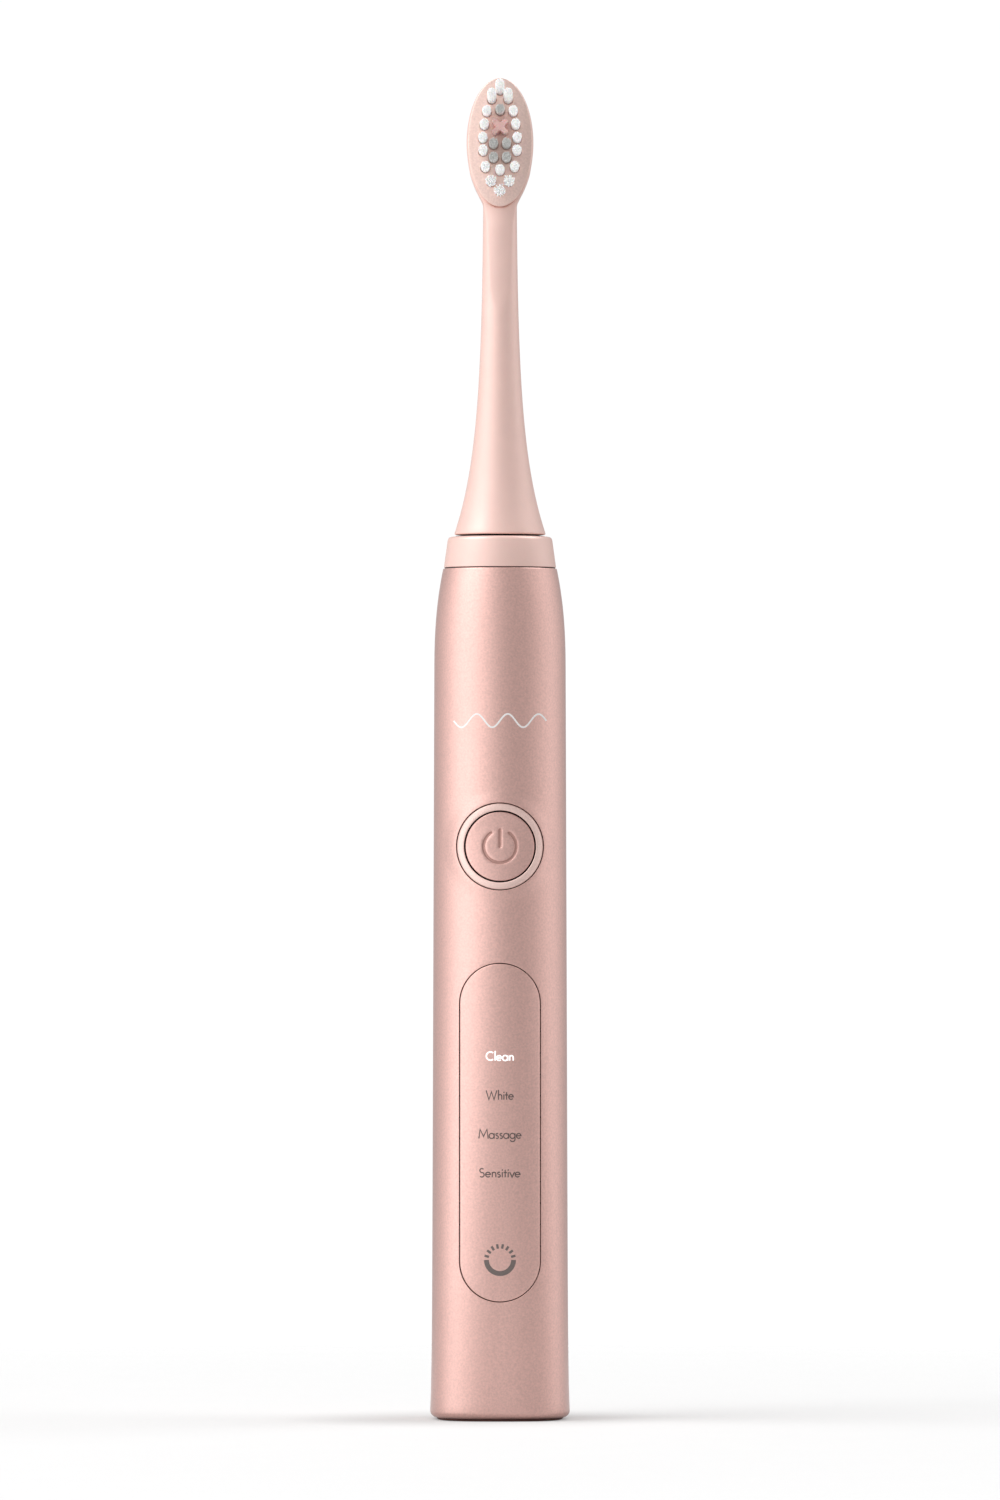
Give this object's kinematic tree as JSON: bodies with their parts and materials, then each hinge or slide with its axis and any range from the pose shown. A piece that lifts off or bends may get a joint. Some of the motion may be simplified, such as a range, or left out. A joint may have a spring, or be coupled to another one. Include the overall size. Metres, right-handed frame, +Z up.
{
  "type": "sonic electric toothbrush",
  "caption": "Slim cylindrical electric toothbrush standing on its base, with a power button, a lit mode panel, a swinging drive shaft and a pull-off brush head.",
  "frame": {"origin": "middle of the flat base the toothbrush stands on", "axes": "+Z up along the handle to the tip of the brush head; the bristles, power button and display panel face -Y; +X is to the right seen from the front"},
  "size_m": [0.0262, 0.0262, 0.2527],
  "materials": {
    "battery_wrap": "printed sleeve on a metal can",
    "bearing_bronze": "oil-filled bronze",
    "black_rubber": "matte black silicone",
    "blush_plastic": "smooth pale pink plastic",
    "blush_rubber": "soft pink elastomer",
    "circuit_board": "green solder mask",
    "copper_winding": "enamelled copper wire",
    "dark_insulation": "black wire insulation",
    "dark_plastic": "black moulded plastic",
    "grey_nylon": "grey nylon filament",
    "inner_plastic": "unpainted moulded plastic",
    "led": "clear light-emitting diode",
    "magnet": "nickel-plated magnet",
    "nickel_strip": "nickel strip",
    "red_insulation": "red wire insulation",
    "rose_bright_metal": "lighter rose-gold satin metal trim",
    "rose_metallic_plastic": "satin rose-gold metallic coating on plastic",
    "rose_metallic_shell": "satin rose-gold metallic coating",
    "stator_steel": "laminated electrical steel",
    "steel": "bright steel",
    "white_nylon": "white nylon filament"
  },
  "bodies": {
    "handle": {"base_cap": "rose_metallic_plastic", "base_seal": "black_rubber", "battery_cell": "battery_wrap", "battery_tab_bottom": "nickel_strip", "battery_tab_top": "nickel_strip", "board_screw_1": "steel", "board_screw_2": "steel", "button_bezel": "rose_bright_metal", "button_seal": "black_rubber", "charging_coil": "copper_winding", "charging_inductor": "dark_plastic", "chassis": "inner_plastic", "circuit_board": "circuit_board", "coil_bobbin": "inner_plastic", "coil_lead_left": "dark_insulation", "coil_lead_right": "red_insulation", "collar_seal": "black_rubber", "controller_chip": "dark_plastic", "display_panel": "rose_metallic_plastic", "front_bearing": "bearing_bronze", "front_motor_plate": "steel", "gauge_led": "led", "handle_shell": "rose_metallic_shell", "light_baffle": "dark_plastic", "mode_led_1": "led", "mode_led_2": "led", "mode_led_3": "led", "mode_led_4": "led", "motor_can": "steel", "motor_cradle": "inner_plastic", "motor_lead_left": "dark_insulation", "motor_lead_right": "red_insulation", "motor_screw_1": "steel", "motor_screw_2": "steel", "panel_gasket": "black_rubber", "rear_bearing": "bearing_bronze", "rear_motor_plate": "steel", "seal_retainer": "inner_plastic", "shaft_seal": "black_rubber", "stator_coil_left": "copper_winding", "stator_coil_right": "copper_winding", "stator_core": "stator_steel", "tactile_switch": "dark_plastic", "top_collar": "blush_plastic"},
    "button": {"button_cap": "rose_metallic_plastic"},
    "plunger": {"switch_plunger": "blush_rubber"},
    "drive": {"drive_shaft": "steel", "retaining_ring": "steel", "rotor_magnet_left": "magnet", "rotor_magnet_right": "magnet", "return_spring": "steel"},
    "brush_head": {"neck_body": "blush_plastic", "face_plate": "rose_bright_metal", "outer_tufts": "white_nylon", "inner_tufts": "grey_nylon", "massage_cross": "blush_rubber", "shaft_socket": "inner_plastic", "retention_clip": "steel"}
  },
  "joints": [
    {"name": "power_button_press", "type": "slide", "parent": "handle", "child": "button", "axis": [0, 1, 0], "range_m": [0, 0.0004], "stiffness_N_per_m": 2500, "deforming": ["button_seal"]},
    {"name": "switch_plunger_press", "type": "slide", "parent": "handle", "child": "plunger", "axis": [0, 1, 0], "range_m": [0, 0.0004]},
    {"name": "drive_swing", "type": "hinge", "parent": "handle", "child": "drive", "pos_m": [0, 0, 0.137], "axis": [0, 0, 1], "range_deg": [-6, 6], "stiffness_Nm_per_rad": 0.02, "deforming": ["return_spring"]},
    {"name": "brush_head_pull", "type": "slide", "parent": "drive", "child": "brush_head", "axis": [0, 0, 1], "range_m": [0, 0.03]}
  ],
  "couplings": [
    {"joint": "switch_plunger_press", "follows": "power_button_press", "ratio": 1}
  ]
}
